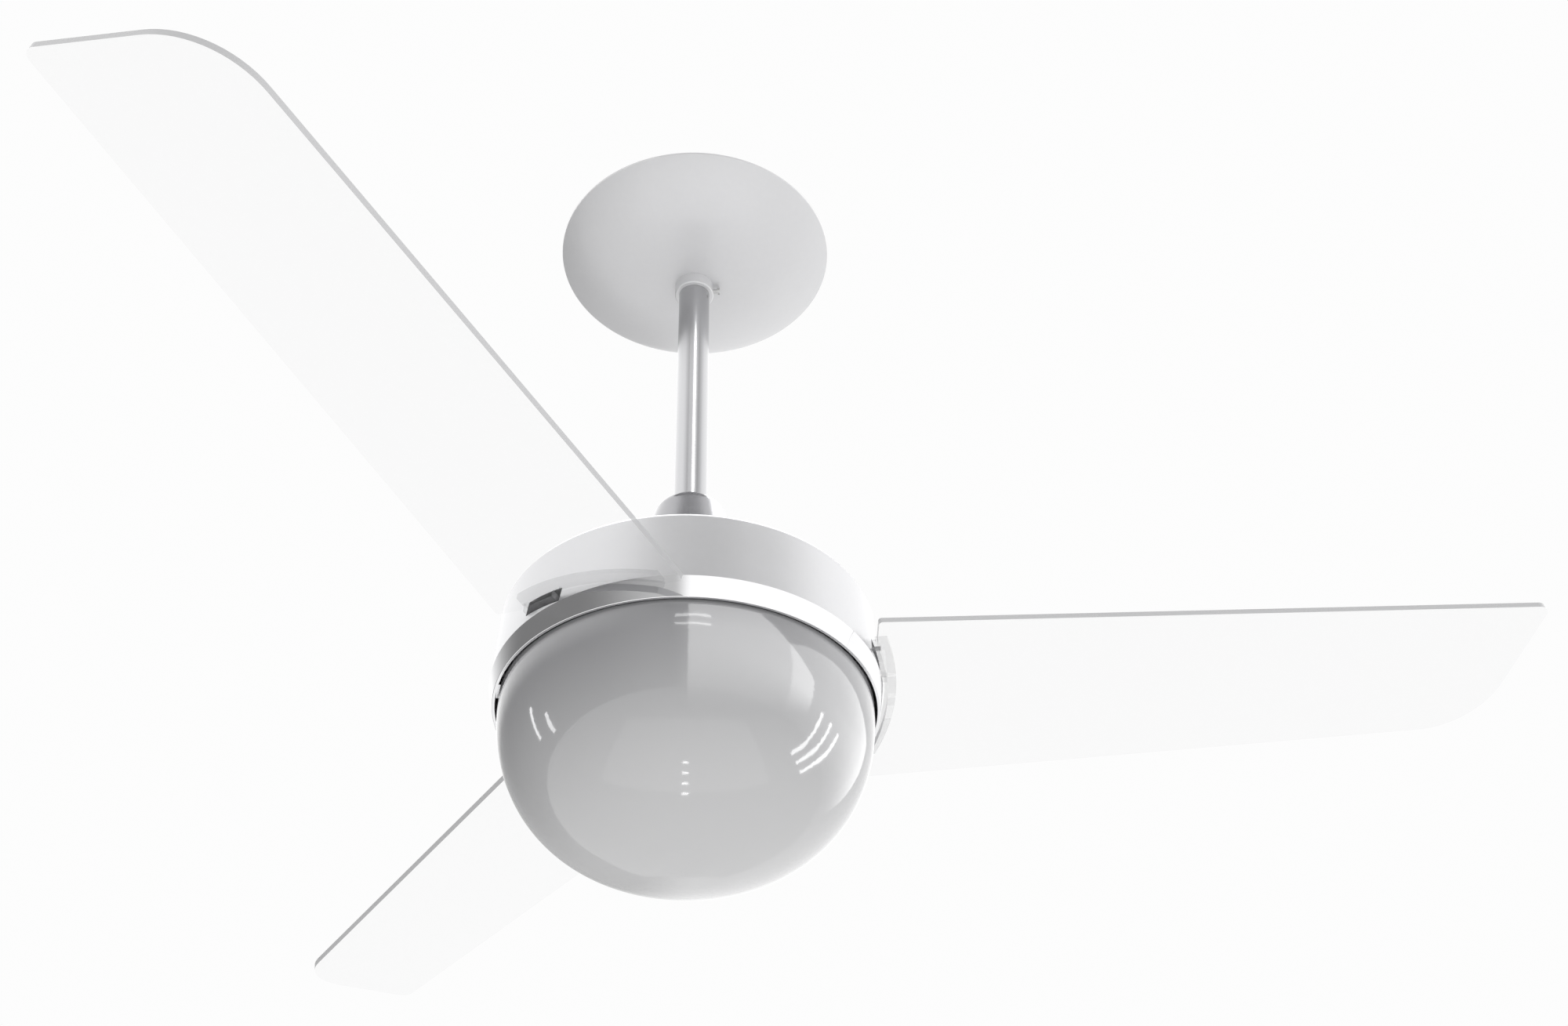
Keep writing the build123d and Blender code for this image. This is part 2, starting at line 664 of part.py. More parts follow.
def blade():
    flat = blade_frame() * extrude(blade_outline(), blade_t / 2, both=True)
    flat -= about_axis(ring_top_r + blade_root_gap)
    root_s = ring_top_r + 2 * blade_root_gap
    flat += blade_box(tongue_end_s, root_s, tongue_half, -blade_t / 2, blade_t / 2, tongue_mid_w)
    for x, y in blade_screw_places():
        flat -= blade_frame() * (Pos(x, y, 0) * Cylinder(blade_screw_r, 2 * blade_t))
    return flat


def blade_holder():
    edge = 2 * holder_arc_r
    neck_low, neck_high = -tongue_mid_w - neck_half, -tongue_mid_w + neck_half
    arm = Polygon(
        (pad_inner_s, -pad_half), (pad_outer_s, -pad_half), (neck_inner_s, neck_low), (edge, neck_low),
        (edge, neck_high), (neck_inner_s, neck_high), (pad_outer_s, pad_half), (pad_inner_s, pad_half),
        align=None)
    holder = blade_frame() * (Pos(0, 0, blade_t / 2) * extrude(arm, holder_t))
    flange = blade_box(neck_inner_s, edge, holder_half, blade_t / 2, holder_top)
    holder += flange - about_axis(ring_top_r + holder_gap)
    neck = blade_box(neck_inner_s, edge, neck_half, neck_floor, holder_top, tongue_mid_w)
    holder += neck & about_axis(ring_top_r + neck_end_gap)
    above = Pos(pad_outer_s, 0, blade_t / 2) * Box(6 * pad_half, 6 * pad_half, 2 * motor_bottom_h,
                                                   align=(Align.CENTER, Align.CENTER, Align.MIN))
    reach = pad_outer_s - pad_inner_s
    pad = Box(reach, 2 * pad_half, motor_bottom_h)
    pad = Pos(pad_inner_s + reach / 2, 0, z_of(motor_bottom_h / 2)) * pad
    holder += pad & (blade_frame() * above)
    pocket_end = tongue_end_s - loose
    holder -= blade_box(pocket_end, edge, tongue_half + running, -blade_t / 2 - running, blade_t / 2,
                        tongue_mid_w)
    for x, y in blade_screw_places():
        holder -= blade_frame() * (Pos(x, y, 0) * Cylinder(blade_screw_r, 4 * holder_top))
    for side in (-1, 1):
        y = side * pad_screw_w
        holder -= upright(pad_screw_r, 0, motor_bottom_h, x=pad_screw_s, y=y)
        holder -= upright(pad_screw_head_r + loose, 0, pad_seat_h, x=pad_screw_s, y=y)
    return holder & about_axis(holder_arc_r)


def blade_screws():
    screws, washers = [], []
    seat = neck_floor - blade_washer_t
    for x, y in blade_screw_places():
        shank = Pos(x, y, (seat + holder_top) / 2) * Cylinder(blade_screw_r, holder_top - seat)
        head = Pos(x, y, seat - blade_screw_head_t / 2) * Cylinder(blade_screw_head_r, blade_screw_head_t)
        screws.append(blade_frame() * (shank + head))
        ring = Cylinder(blade_washer_r, blade_washer_t) - Cylinder(blade_screw_r, 2 * blade_washer_t)
        washers.append(blade_frame() * (Pos(x, y, neck_floor - blade_washer_t / 2) * ring))
    return screws, washers


def blade_sets():
    screws, washers = blade_screws()
    holder_screws = []
    top_h = motor_bottom_h + motor_plate
    for side in (-1, 1):
        at = {"x": pad_screw_s, "y": side * pad_screw_w}
        shank = upright(pad_screw_r, pad_seat_h, top_h, **at)
        head = upright(pad_screw_head_r, pad_seat_h - pad_screw_head_t, pad_seat_h, **at)
        holder_screws.append(shank + head)
    all_screws, all_washers, all_holder_screws = [], [], []
    one_blade, one_holder = blade(), blade_holder()
    for i in range(blade_count):
        place = Rot(0, 0, -blade_turn * i)
        save(f"blade_{i + 1}", place * one_blade)
        save(f"blade_holder_{i + 1}", place * one_holder)
        all_screws += [place * item for item in screws]
        all_washers += [place * item for item in washers]
        all_holder_screws += [place * item for item in holder_screws]
    save("blade_screws", all_screws)
    save("blade_washers", all_washers)
    save("holder_screws", all_holder_screws)


# Light kit: fixed to the lower end of the shaft, inside the bowl
def light_pan():
    under = pan_top_h - pan_t
    foot = pan_top_h - pan_skirt
    pan = turned((shaft_r, under), (pan_r - pan_t, under), (pan_r - pan_t, foot), (pan_r, foot),
                 (pan_r, pan_top_h), (shaft_r, pan_top_h))
    for item in around(crosswise(rivet_r, pan_r - 2 * pan_t, pan_r + pan_t, rivet_h), spring_count):
        pan -= item
    save("light_pan", pan)
    bore = upright(shaft_r, cluster_bottom_h, motor_bottom_h)
    upper = Pos(0, 0, z_of(pan_top_h)) * hexagon(nut_af, nut_kit_t) - bore
    lower = Pos(0, 0, z_of(under - nut_kit_t)) * hexagon(nut_af, nut_kit_t) - bore
    save("pan_nuts", [upper, lower])


def bowl_springs():
    attach_top = pan_top_h - 1.6
    attach_foot = pan_top_h - pan_skirt - 0.6
    nose_h = attach_foot - 6.0
    tail_h = nose_h - 5.0
    nose_r = bowl_inner_r(nose_h) - spring_clear
    inner_side = [(pan_r, attach_top), (pan_r, attach_foot), (nose_r - spring_t, nose_h),
                  (nose_r - 3.0, tail_h)]
    outer_side = [(r + spring_t, h) for r, h in reversed(inner_side)]
    face = outline_face(inner_side + outer_side, [(2, 1.0), (5, 1.6)])
    leaf = extrude(face, spring_width / 2, both=True)
    leaf -= crosswise(rivet_r, pan_r - 1, pan_r + 1, rivet_h)
    save("bowl_springs", around(leaf, spring_count))
    inside = sqrt((pan_r - pan_t) ** 2 - rivet_head_r**2)
    rivet = crosswise(rivet_r, inside, pan_r + spring_t, rivet_h)
    rivet += crosswise(rivet_head_r, inside - rivet_head_t, inside, rivet_h)
    save("spring_rivets", around(rivet, spring_count))


def lamp_cluster():
    tall = cluster_top_h - cluster_bottom_h
    body = Pos(0, 0, z_of(cluster_bottom_h)) * Rot(0, 0, 30) * hexagon(2 * cluster_flat, tall)
    body -= upright(shaft_r, cluster_top_h - 8.0, cluster_top_h)
    body -= upright(cluster_bore_r, cluster_bottom_h + 4.0, cluster_top_h)
    for item in around(crosswise(3.0, 0, 2 * cluster_flat, lamp_h), lamp_count, start=60):
        body -= item
    save("lamp_cluster", body)


def bowl_inner_r(height):
    depth = glass_depth - glass_wall
    return (glass_r - glass_wall) * (1 - (abs(height) / depth) ** glass_power) ** (1 / glass_power)


def lamps():
    socket_end = cluster_flat + holder_socket_length
    base_start = socket_end - lamp_base_length + 1.0
    base_end = base_start + lamp_base_length
    tip = bowl_inner_r(lamp_h) - lamp_tip_clear
    centre = tip - lamp_bulb_r
    socket = crosswise(holder_socket_r, cluster_flat, socket_end, lamp_h)
    socket -= crosswise(lamp_base_r + loose, base_start - 1.0, socket_end, lamp_h)
    socket -= crosswise(3.0, cluster_flat, base_start, lamp_h)
    groove_at = cluster_flat + 0.62 * holder_socket_length
    groove = crosswise(2 * holder_socket_r, groove_at, groove_at + 2.0, lamp_h)
    socket -= groove - crosswise(holder_socket_r - 1.0, cluster_flat, socket_end, lamp_h)
    base = crosswise(lamp_base_r, base_start, base_end, lamp_h)
    neck = crosswise(lamp_neck_r, base_end, centre, lamp_h)
    bulb = neck + Pos(centre, 0, z_of(lamp_h)) * Sphere(lamp_bulb_r)
    for i in range(lamp_count):
        place = Rot(0, 0, 60 + 360.0 / lamp_count * i)
        save(f"lampholder_{i + 1}", place * socket)
        save(f"lamp_bulb_{i + 1}", place * bulb)
    save("lamp_bases", around(base, lamp_count, start=60))


# Bowl: blown glass, pushed up over the leaf springs
def glass_bowl():
    def curve(radius, depth):
        steps = 12
        points = []
        for i in range(steps + 1):
            turn = radians(90.0 * i / steps)
            out = radius * max(cos(turn), 0.0) ** (2 / glass_power)
            points.append((out, 0, z_of(-depth * sin(turn) ** (2 / glass_power))))
        points[-1] = (0, 0, z_of(-depth))
        return Spline(*points, tangents=[(0, 0, -1), (-1, 0, 0)])

    inner_r = glass_r - glass_wall
    outer = curve(glass_r, glass_depth)
    inner = curve(inner_r, glass_depth - glass_wall)
    rim = Polyline(outer @ 0, (glass_r, 0, z_of(glass_lip)), (inner_r, 0, z_of(glass_lip)), inner @ 0)
    foot = Line(outer @ 1, inner @ 1)
    save("glass_bowl", revolve(make_face([outer, inner, rim, foot]), Axis.Z))


ceiling_bracket()
hanger_hardware()
terminal_block()
downrod()
canopy()
coupling()
coupling_cover()
start_capacitor()
motor_shaft()
balls = bearing("upper", upper_bearing_h) + bearing("lower", lower_bearing_h)
save("bearing_balls", balls)
stator()
motor_shells()
drum_housing()
trim_ring()
blade_sets()
light_pan()
bowl_springs()
lamp_cluster()
lamps()
glass_bowl()
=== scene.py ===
import bpy
import math
from mathutils import Matrix, Vector

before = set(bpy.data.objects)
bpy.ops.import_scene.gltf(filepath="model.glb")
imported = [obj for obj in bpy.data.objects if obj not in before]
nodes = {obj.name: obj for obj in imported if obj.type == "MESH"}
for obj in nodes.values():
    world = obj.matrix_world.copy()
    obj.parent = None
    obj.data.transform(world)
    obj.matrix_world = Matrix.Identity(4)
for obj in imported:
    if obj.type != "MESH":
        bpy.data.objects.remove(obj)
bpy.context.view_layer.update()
scene = bpy.context.scene
scene.view_settings.view_transform = "Standard"


# Room. A white studio surround over a pale painted floor. The surround is bright to the right and
# behind the fan and dimmer to the left and high in front, which is what the polished parts mirror.
class Shade:
    """A shader socket that takes part in ordinary arithmetic."""
    def __init__(self, tree, socket=None):
        self.tree = tree
        self.socket = socket

    def node(self, kind, settings=(), inputs=(), out=0):
        made = self.tree.nodes.new(kind)
        for key, value in dict(settings).items():
            setattr(made, key, value)
        for key, value in dict(inputs).items():
            if isinstance(value, Shade):
                self.tree.links.new(value.socket, made.inputs[key])
            else:
                made.inputs[key].default_value = value
        return Shade(self.tree, made.outputs[out] if len(made.outputs) else None)

    def math(self, operation, *values):
        return self.node("ShaderNodeMath", {"operation": operation}, dict(enumerate(values)))

    def __add__(self, other):
        return self.math("ADD", self, other)

    __radd__ = __add__

    def __mul__(self, other):
        return self.math("MULTIPLY", self, other)

    __rmul__ = __mul__

    def __sub__(self, other):
        return self.math("SUBTRACT", self, other)

    def __rsub__(self, other):
        return self.math("SUBTRACT", other, self)

    def __abs__(self):
        return self.math("ABSOLUTE", self)

    def parts(self):
        return [self.node("ShaderNodeSeparateXYZ", {}, {0: self}, out=i) for i in range(3)]

    def soft_step(self, low, high, start=0.0, end=1.0):
        """Smooth run from start to end as this value goes from low to high."""
        inputs = {"Value": self, "From Min": low, "From Max": high, "To Min": start, "To Max": end}
        return self.node("ShaderNodeMapRange", {"interpolation_type": "SMOOTHSTEP"}, inputs)

    def between(self, first, second):
        """Colour that runs from first to second as this value goes from 0 to 1."""
        return self.node("ShaderNodeMix", {"data_type": "RGBA"}, {0: self, 6: first, 7: second}, out=2)


world = bpy.data.worlds.new("studio")
world.use_nodes = True
world.node_tree.nodes.clear()
sky = Shade(world.node_tree)
across, depth, up = sky.node("ShaderNodeTexCoord", out="Generated").parts()
low_wall = across.soft_step(-0.85, -0.25, 0.20, 0.52) + across.soft_step(-0.14, 0.04, 0.0, 0.60)
high_wall = (depth * 0.96 - across * 0.26).soft_step(-0.92, -0.10, 0.30, 1.52)
height = up.soft_step(0.42, 0.62)
walls = (1 - height) * low_wall + height * high_wall
seen = sky.node("ShaderNodeLightPath", out="Is Camera Ray")
strength = seen * 0.98 + (1 - seen) * walls
lit = sky.node("ShaderNodeBackground", {}, {"Color": (1.0, 1.0, 1.0, 1.0), "Strength": strength})
sky.node("ShaderNodeOutputWorld", {}, {0: lit})
scene.world = world


blotches_per_metre = 28.0


def grain(size):
    """Even grain of a given size in metres."""
    def mark(skin, place):
        return skin.node("ShaderNodeTexNoise", {}, {"Vector": place, "Scale": 1.0 / size, "Detail": 5.0})
    return mark


def finish(name, low, high, roughness, mark, metallic=0.0, spread=0.05, relief=0.1, depth=0.00002, **sockets):
    """Surface with two close colours and a varying gloss that follow a mark, and a relief cut by it.
    A socket given by name may be a number or a function of the skin and the place on it."""
    material = bpy.data.materials.new(name)
    material.use_nodes = True
    material.node_tree.nodes.clear()
    skin = Shade(material.node_tree)
    place = skin.node("ShaderNodeTexCoord", out="Object")
    fine = mark(skin, place)
    broad = skin.node("ShaderNodeTexNoise", {}, {"Vector": place, "Scale": blotches_per_metre, "Detail": 4.0})
    tint = (fine * 0.5 + broad * 0.5).between((*low, 1.0), (*high, 1.0))
    gloss = (fine + broad) * spread + (roughness - spread)
    bump = skin.node("ShaderNodeBump", {}, {"Strength": relief, "Distance": depth, "Height": fine})
    inputs = {"Base Color": tint, "Roughness": gloss, "Normal": bump, "Metallic": metallic}
    inputs.update({key.replace("_", " "): value(skin, place) if callable(value) else value
                   for key, value in sockets.items()})
    surface = skin.node("ShaderNodeBsdfPrincipled", {}, inputs)
    skin.node("ShaderNodeOutputMaterial", {}, {0: surface})
    return material


floor_drop = 2.6
floor_r = 6.0
floor_sides = 128
bearings = [math.tau * side / floor_sides for side in range(floor_sides)]
floor_rim = [(floor_r * math.cos(angle), floor_r * math.sin(angle), -floor_drop) for angle in bearings]
floor_mesh = bpy.data.meshes.new("studio_floor")
floor_mesh.from_pydata(floor_rim, [], [tuple(range(floor_sides))])
floor = bpy.data.objects.new("studio_floor", floor_mesh)
scene.collection.objects.link(floor)
floor_mesh.materials.append(finish("floor_paint", (0.77, 0.77, 0.77), (0.81, 0.81, 0.81), 0.9, grain(0.3)))

# Camera. It stands about a metre in front of the fan and a little over a metre below the ceiling,
# and looks up at it. The shift frames the fan left of the middle.
camera_at = Vector((0.0, -0.97149, -1.09975))
camera_yaw, camera_pitch, camera_roll = 0.0319611, 0.7154037, -0.0021437
level = math.cos(camera_pitch)
forward = Vector((math.sin(camera_yaw) * level, math.cos(camera_yaw) * level, math.sin(camera_pitch)))
level_right = Vector((math.cos(camera_yaw), -math.sin(camera_yaw), 0.0))
level_up = level_right.cross(forward)
right = level_right * math.cos(camera_roll) + level_up * math.sin(camera_roll)
upward = level_up * math.cos(camera_roll) - level_right * math.sin(camera_roll)
camera = bpy.data.objects.new("camera", bpy.data.cameras.new("camera"))
camera.data.sensor_width = 36.0
camera.data.lens = 44.33
camera.data.shift_x = 0.0301
camera.data.clip_start = 0.01
turn = Matrix((right, upward, -forward)).transposed().to_4x4()
camera.matrix_world = Matrix.Translation(camera_at) @ turn
scene.collection.objects.link(camera)
scene.camera = camera

# Lights. A wide box over the floor lights the undersides. The rest are strips and panels that only
# the piece whose highlight they make is linked to.
fan_middle = (0.0, 0.0, -0.45)


def softbox(name, place, aim, width, height, radiance, only=(), matt=False, fade=None):
    """Rectangular studio light of a given brightness, turned to face a point. A linked light makes a
    highlight only, unless matt is asked for. A fade dims it between two heights."""
    data = bpy.data.lights.new(name, "AREA")
    data.shape = "RECTANGLE"
    data.size = width
    data.size_y = height
    data.energy = radiance * math.pi * width * height
    lamp = bpy.data.objects.new(name, data)
    lamp.location = place
    lamp.rotation_mode = "QUATERNION"
    lamp.rotation_quaternion = (Vector(aim) - Vector(place)).to_track_quat("-Z", "Y")
    lamp.visible_camera = False
    scene.collection.objects.link(lamp)
    if only:
        lit_pieces = bpy.data.collections.new(name + "_pieces")
        for piece in only:
            lit_pieces.objects.link(nodes[piece])
        lamp.light_linking.receiver_collection = lit_pieces
        lamp.visible_diffuse = matt
    if fade:
        data.use_nodes = True
        data.node_tree.nodes.clear()
        glow = Shade(data.node_tree)
        above = glow.node("ShaderNodeNewGeometry", out="Position").parts()[2]
        bright = glow.node("ShaderNodeEmission", {}, {"Strength": above.soft_step(*fade)})
        glow.node("ShaderNodeOutputLight", {}, {0: bright})
    return lamp


rod_aim = (0, 0, -0.2)
bell_aim = (0, 0, -0.35)
drum_aim = (0, 0, -0.4)
softbox("floor_box", (0.0, -0.3, -2.5), fan_middle, 3.2, 3.2, 0.34)
softbox("rod_strip", (0.48, -1.80, 1.20), rod_aim, 0.14, 1.8, 15.0, only=("downrod",))
softbox("rod_panel", (0.3, -2.2, 1.6), rod_aim, 2.2, 2.4, 0.45, only=("downrod",))
softbox("bell_strip", (1.00, 0.80, 1.80), bell_aim, 1.0, 1.0, 3.0, only=("coupling_cover",))
softbox("lip_light", (0.0, 0.0, 2.4), drum_aim, 3.0, 3.0, 2.0, only=("drum_housing",))
bowl_only = ("glass_bowl",)
for name, y in (("window_a", -0.21), ("window_b", 0.13), ("window_c", 0.46)):
    softbox(name, (2.4, y, -1.20), fan_middle, 0.10, 1.6, 7.0, only=bowl_only)
softbox("window_d", (-2.45, 0.40, -0.38), fan_middle, 0.10, 0.85, 6.0, only=bowl_only)
softbox("window_e", (-2.45, -0.08, -0.75), fan_middle, 0.10, 0.6, 6.0, only=bowl_only)
spot_first_y, spot_spacing = -0.45, 0.28
for step in range(4):
    spot_at = (0.0, spot_first_y + spot_spacing * step, -2.45)
    softbox(f"floor_spot_{step}", spot_at, fan_middle, 0.09, 0.06, 8.0, only=bowl_only)
for name, z in (("transom_a", 0.94), ("transom_b", 0.68)):
    softbox(name, (0.12, -2.3, z), fan_middle, 0.8, 0.05, 5.0, only=bowl_only)
wall_fade = (-2.3, 0.4)
wall_z, wall_height = -0.2, 4.4
softbox("bowl_panel", (5.0, -2.4, wall_z), (5.0, 0.0, wall_z), 10.0, wall_height, 2.9, bowl_only,
        fade=wall_fade)
softbox("bowl_side", (4.2, 1.0, wall_z), (0.0, 1.0, wall_z), 6.8, wall_height, 1.6, bowl_only, fade=wall_fade)
bowl_fill = softbox("bowl_fill", (-2.4, 0.9, -1.9), fan_middle, 2.6, 1.6, 0.5, bowl_only, matt=True)
bowl_fill.visible_glossy = False

# Ceiling bracket. A pressed steel strap with turned-down ears, zinc plated, that screws to a box in
# the ceiling. The hanger bolt, its nut, washers and split pin are zinc plated too.
def dress(material, *names):
    """Give the named pieces one surface."""
    for name in names:
        mesh = nodes[name].data
        mesh.materials.clear()
        mesh.materials.append(material)


zinc = finish("zinc_plate", (0.56, 0.57, 0.58), (0.72, 0.72, 0.70), 0.34, grain(0.002), metallic=1.0,
              spread=0.10)
dress(zinc, "ceiling_bracket", "hanger_bolt", "hanger_nut", "hanger_washers", "hanger_split_pin")

# Hanger bush. A moulded rubber sleeve between the bolt and the rod, which lets the fan find its
# own level.
rubber = finish("black_rubber", (0.02, 0.02, 0.02), (0.06, 0.06, 0.06), 0.75, grain(0.0008), relief=0.3)
dress(rubber, "hanger_bush", "cover_grommet")

# Terminal block. A white plastic moulding screwed to the bracket, with brass clamp screws for the
# supply leads, whose sleeves are soft plastic.
phenolic = finish("white_moulding", (0.78, 0.77, 0.72), (0.87, 0.86, 0.82), 0.42, grain(0.0015))
dress(phenolic, "terminal_block")
brass = finish("turned_brass", (0.62, 0.45, 0.19), (0.80, 0.62, 0.32), 0.28, grain(0.001), metallic=1.0)
dress(brass, "terminal_screws")
sleeve = finish("lead_sleeve", (0.05, 0.05, 0.06), (0.11, 0.11, 0.12), 0.5, grain(0.004), Sheen_Weight=0.1)
dress(sleeve, "supply_leads")


# Downrod. A steel tube, drawn and then nickel plated to a satin shine, so its fine lines run along it.
def drawn(pitch):
    """Fine lines that run along Z."""
    def mark(skin, place):
        squeezed = skin.node("ShaderNodeMapping", {}, {"Vector": place, "Scale": (1.0, 1.0, 0.02)})
        return skin.node("ShaderNodeTexNoise", {}, {"Vector": squeezed, "Scale": 1.0 / pitch, "Detail": 3.0})
    return mark


rod_plate = finish("satin_nickel", (0.46, 0.46, 0.47), (0.50, 0.50, 0.51), 0.22, drawn(0.0012), metallic=1.0,
                   spread=0.03, relief=0.01)
dress(rod_plate, "downrod")

# Canopy. A shallow dish spun from sheet steel and sprayed with silver lacquer. It hides the bracket
# and hangs on a small turned collar that a set screw locks to the rod.
canopy_lacquer = finish("canopy_lacquer", (0.66, 0.66, 0.67), (0.71, 0.71, 0.72), 0.42, grain(0.004),
                        metallic=0.30, spread=0.03, relief=0.04, Coat_Weight=0.25, Coat_Roughness=0.12)
dress(canopy_lacquer, "canopy")
collar_lacquer = finish("collar_lacquer", (0.70, 0.70, 0.71), (0.76, 0.76, 0.77), 0.30, grain(0.004),
                        metallic=0.4, spread=0.03, relief=0.03, Coat_Weight=0.3, Coat_Roughness=0.08)
dress(collar_lacquer, "canopy_collar")
screw_zinc = finish("screw_plate", (0.48, 0.48, 0.48), (0.66, 0.66, 0.65), 0.3, grain(0.0008), metallic=1.0)
dress(screw_zinc, "collar_set_screw")


# Rod coupling. A turned steel socket on top of the motor shaft. A pin and clip hold the rod in it,
# and black set screws lock it.
def turned(pitch):
    """Lathe lines round the Z axis."""
    def mark(skin, place):
        x, y, z = place.parts()
        radius = (x * x + y * y).math("SQRT")
        lines = skin.node("ShaderNodeCombineXYZ", {}, {0: radius, 1: z})
        return skin.node("ShaderNodeTexNoise", {}, {"Vector": lines, "Scale": 1.0 / pitch, "Detail": 2.0})
    return mark


turned_steel = finish("turned_steel", (0.46, 0.46, 0.47), (0.64, 0.64, 0.65), 0.28, turned(0.0006),
                      metallic=1.0, relief=0.25)
dress(turned_steel, "rod_coupling", "coupling_pin", "coupling_clip")
oxide = finish("black_oxide", (0.03, 0.03, 0.035), (0.09, 0.09, 0.09), 0.42, grain(0.0006), metallic=0.9)
dress(oxide, "coupling_set_screws")

# Coupling cover. A small bell spun from brass, polished and plated to a mirror, that slides up
# the rod to bare the coupling. Its dark colour is painted shade, standing in for the dark
# surroundings the mirror shows.
bell_plate_painted_shade = finish("bell_plate_painted_shade", (0.26, 0.26, 0.27), (0.30, 0.30, 0.31), 0.16, turned(0.0009), metallic=1.0,
                    spread=0.02, relief=0.04)
dress(bell_plate_painted_shade, "coupling_cover")

# Drum housing. A deep cup pressed from sheet steel with a rounded top edge, sprayed with the same
# silver lacquer. It covers the motor and is held by zinc plated screws.
drum_lacquer = finish("drum_lacquer", (0.58, 0.58, 0.59), (0.62, 0.62, 0.63), 0.30, grain(0.004),
                      metallic=0.75, spread=0.03, relief=0.03, Coat_Weight=0.3, Coat_Roughness=0.10)
dress(drum_lacquer, "drum_housing")
dress(screw_zinc, "drum_screws")

# Motor. Two cast alloy shells turn round a ground steel shaft on two ball bearings. Inside are a
# wound stator and a ring of rotor laminations.
cast = finish("cast_alloy", (0.46, 0.46, 0.47), (0.62, 0.62, 0.63), 0.5, grain(0.0014), metallic=0.9,
              relief=0.35, depth=0.0001)
dress(cast, "motor_bottom_shell", "motor_top_shell")
dress(screw_zinc, "motor_shell_screws")
ground = finish("ground_steel", (0.58, 0.58, 0.59), (0.70, 0.70, 0.71), 0.16, turned(0.0004), metallic=1.0)
dress(ground, "motor_shaft", "upper_bearing_inner", "upper_bearing_outer", "lower_bearing_inner",
      "lower_bearing_outer")
ball_steel = finish("ball_steel", (0.70, 0.70, 0.71), (0.78, 0.78, 0.79), 0.07, grain(0.001), metallic=1.0,
                    spread=0.02, relief=0.01)
dress(ball_steel, "bearing_balls")


def stacked(pitch):
    """Even layers piled along Z."""
    def mark(skin, place):
        return (place.parts()[2] * (math.tau / pitch)).math("SINE") * 0.5 + 0.5
    return mark


lamination = finish("varnished_laminations", (0.10, 0.11, 0.13), (0.30, 0.31, 0.33), 0.42, stacked(0.0005),
                    metallic=0.8, relief=0.6, depth=0.0001)
dress(lamination, "stator_core", "rotor_core")
winding = finish("copper_winding", (0.34, 0.12, 0.05), (0.70, 0.32, 0.14), 0.30, stacked(0.0007),
                 metallic=0.8, relief=0.7, depth=0.0002)
dress(winding, "stator_windings")

# Run capacitor. A black plastic box for the motor's second winding, held by a sprung steel clip.
case = finish("capacitor_case", (0.02, 0.02, 0.025), (0.06, 0.06, 0.065), 0.4, grain(0.0012))
dress(case, "run_capacitor")
spring_steel = finish("spring_steel", (0.40, 0.41, 0.44), (0.56, 0.57, 0.60), 0.24, grain(0.0015),
                      metallic=1.0)
dress(spring_steel, "capacitor_clip")

# Trim ring. A band turned from brass and chromed to a mirror, screwed up to the drum, round the
# mouth of the bowl.
chrome = finish("chrome_trim", (0.90, 0.90, 0.91), (0.94, 0.94, 0.95), 0.07, turned(0.0012), metallic=1.0,
                spread=0.015, relief=0.02)
dress(chrome, "trim_ring")
dress(screw_zinc, "trim_ring_screws")


# Blade holders. Clear plastic mouldings with a smoky tint. A neck, painted silver, passes under the
# drum's wall to a pad on the motor. A clear flange outside clamps the blade's root with small screws.
ring_r = max(corner[0] for corner in nodes["trim_ring"].bound_box)
neck_end_r = ring_r + 0.0031
paint_fade = 0.0003
smoky_cover = 0.27


def beyond(skin, place, radius):
    """1 outside a radius from the Z axis and 0 inside it."""
    x, y, z = place.parts()
    return (x * x + y * y).math("SQRT").soft_step(radius - paint_fade, radius)


def one_sided(skin, amount):
    """Coverage of a clear moulding, counted once where sight enters it."""
    return (1 - skin.node("ShaderNodeNewGeometry", out="Backfacing")) * amount


def holder_cover(skin, place):
    clear_part = beyond(skin, place, neck_end_r)
    return clear_part * one_sided(skin, smoky_cover) + (1 - clear_part)


def holder_tint(skin, place):
    return beyond(skin, place, neck_end_r).between((0.78, 0.78, 0.79, 1.0), (0.36, 0.36, 0.37, 1.0))


smoky = finish("smoky_plastic", (0.30, 0.30, 0.31), (0.40, 0.40, 0.41), 0.22, grain(0.003), relief=0.05,
               Base_Color=holder_tint, Alpha=holder_cover)
dress(smoky, "blade_holder_1", "blade_holder_2", "blade_holder_3")
dress(screw_zinc, "blade_screws", "holder_screws")
dress(rubber, "blade_washers")


# Blades. Three cut from clear acrylic sheet with rounded corners. The faces are almost unseen.
# The grey line on the polished edges is painted: an almost opaque grey stands in for the light the
# edges gather. The tongue in the holder's neck is painted.
root_paint_r = ring_r + 0.0080
tongue_side = 0.0314
tongue_half = 0.0112
tongue_fade = 0.0004
# Painted light: the edges get an almost opaque grey, and the faces get a faint veil of it.
painted_edge_line, face_cover = 0.80, 0.06


def root_paint(skin, place, turn):
    """1 on the painted tongue of the blade at a given turn and 0 elsewhere."""
    x, y, z = place.parts()
    sideways = y * math.cos(turn) - x * math.sin(turn)
    strip = abs(sideways + tongue_side).soft_step(tongue_half, tongue_half + tongue_fade, 1.0, 0.0)
    return strip * (1 - beyond(skin, place, root_paint_r))


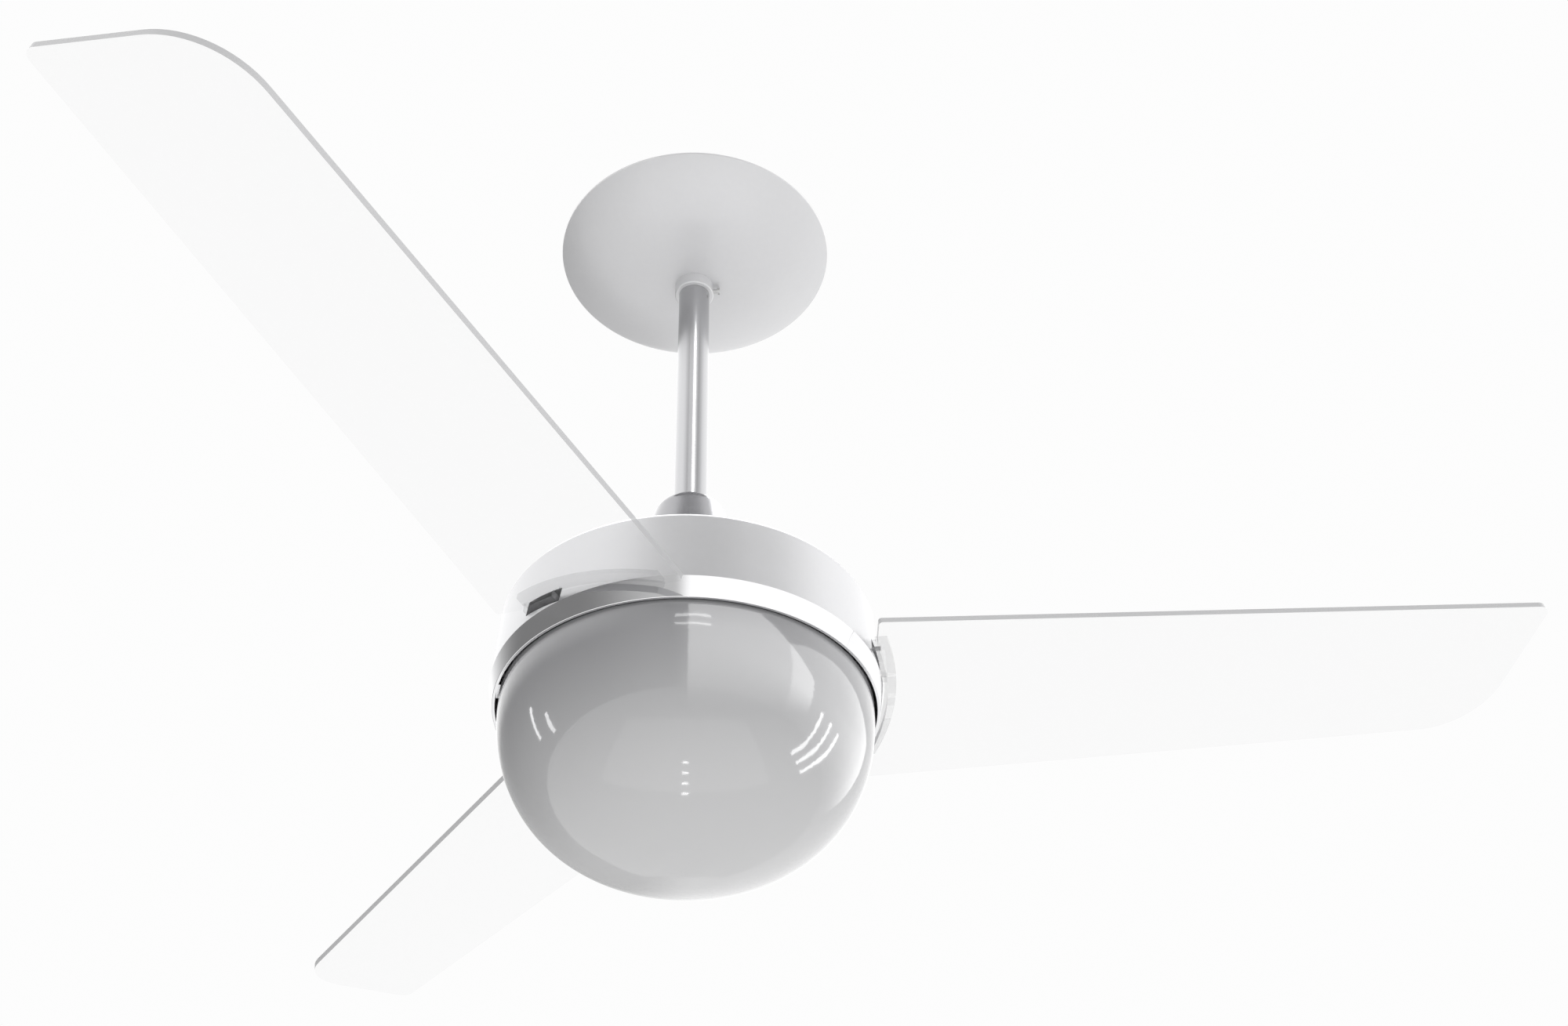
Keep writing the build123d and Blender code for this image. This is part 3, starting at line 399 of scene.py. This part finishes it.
for index in range(3):
    blade_turn = -math.tau / 3 * index

    def sheet_cover(skin, place):
        painted = root_paint(skin, place, blade_turn)
        flatness = abs(skin.node("ShaderNodeTexCoord", out="Normal").parts()[2])
        return painted + (1 - painted) * one_sided(skin, flatness.soft_step(0.5, 0.8, painted_edge_line, face_cover))

    def sheet_tint(skin, place):
        return root_paint(skin, place, blade_turn).between((0.46, 0.46, 0.47, 1.0), (0.80, 0.80, 0.81, 1.0))

    clear = finish(f"clear_acrylic_{index + 1}", (0.42, 0.42, 0.43), (0.50, 0.50, 0.51), 0.10, grain(0.02),
                   spread=0.02, relief=0.01, Base_Color=sheet_tint, Alpha=sheet_cover)
    dress(clear, f"blade_{index + 1}")

# Light pan. A pressed steel plate with turned-down rim, stove enamelled white inside the bowl. The
# lamp cluster under it is enamelled too, and nuts and rivets hold the pan and its springs.
enamel = finish("white_enamel", (0.82, 0.82, 0.80), (0.90, 0.90, 0.88), 0.25, grain(0.003), Coat_Weight=0.4)
dress(enamel, "light_pan", "lamp_cluster")
dress(screw_zinc, "pan_nuts", "spring_rivets")
dress(spring_steel, "bowl_springs")

# Lamps. Three small bulbs with frosted envelopes and nickel caps in white moulded lampholders.
dress(phenolic, "lampholder_1", "lampholder_2", "lampholder_3")
nickel = finish("nickel_cap", (0.62, 0.60, 0.54), (0.78, 0.76, 0.70), 0.25, grain(0.001), metallic=1.0)
dress(nickel, "lamp_bases")
frost = finish("frosted_envelope", (0.86, 0.86, 0.84), (0.95, 0.94, 0.92), 0.38, grain(0.0008),
               Coat_Weight=0.3)
dress(frost, "lamp_bulb_1", "lamp_bulb_2", "lamp_bulb_3")

# Bowl. One piece of blown opal glass with a fire-polished skin, held by the three springs at its
# rim. Its colour is painted shade: darker up the wall towards the rim and lighter at the bottom.
glass_rim = max(corner[2] for corner in nodes["glass_bowl"].bound_box)
glass_foot = min(corner[2] for corner in nodes["glass_bowl"].bound_box)


# Painted shade: the bowl's colour runs darker towards the rim and lighter at the bottom.
def bowl_painted_shade(skin, place):
    shade_ramp = place.parts()[2].soft_step(glass_foot, glass_rim, 1.0, 0.0)
    return shade_ramp.between((0.32, 0.32, 0.33, 1.0), (0.50, 0.50, 0.505, 1.0))


opal = finish("opal_glass", (0.58, 0.58, 0.59), (0.62, 0.62, 0.63), 0.08, grain(0.03), spread=0.01,
              relief=0.01, Base_Color=bowl_painted_shade, Coat_Weight=0.6, Coat_Roughness=0.03)
dress(opal, "glass_bowl")
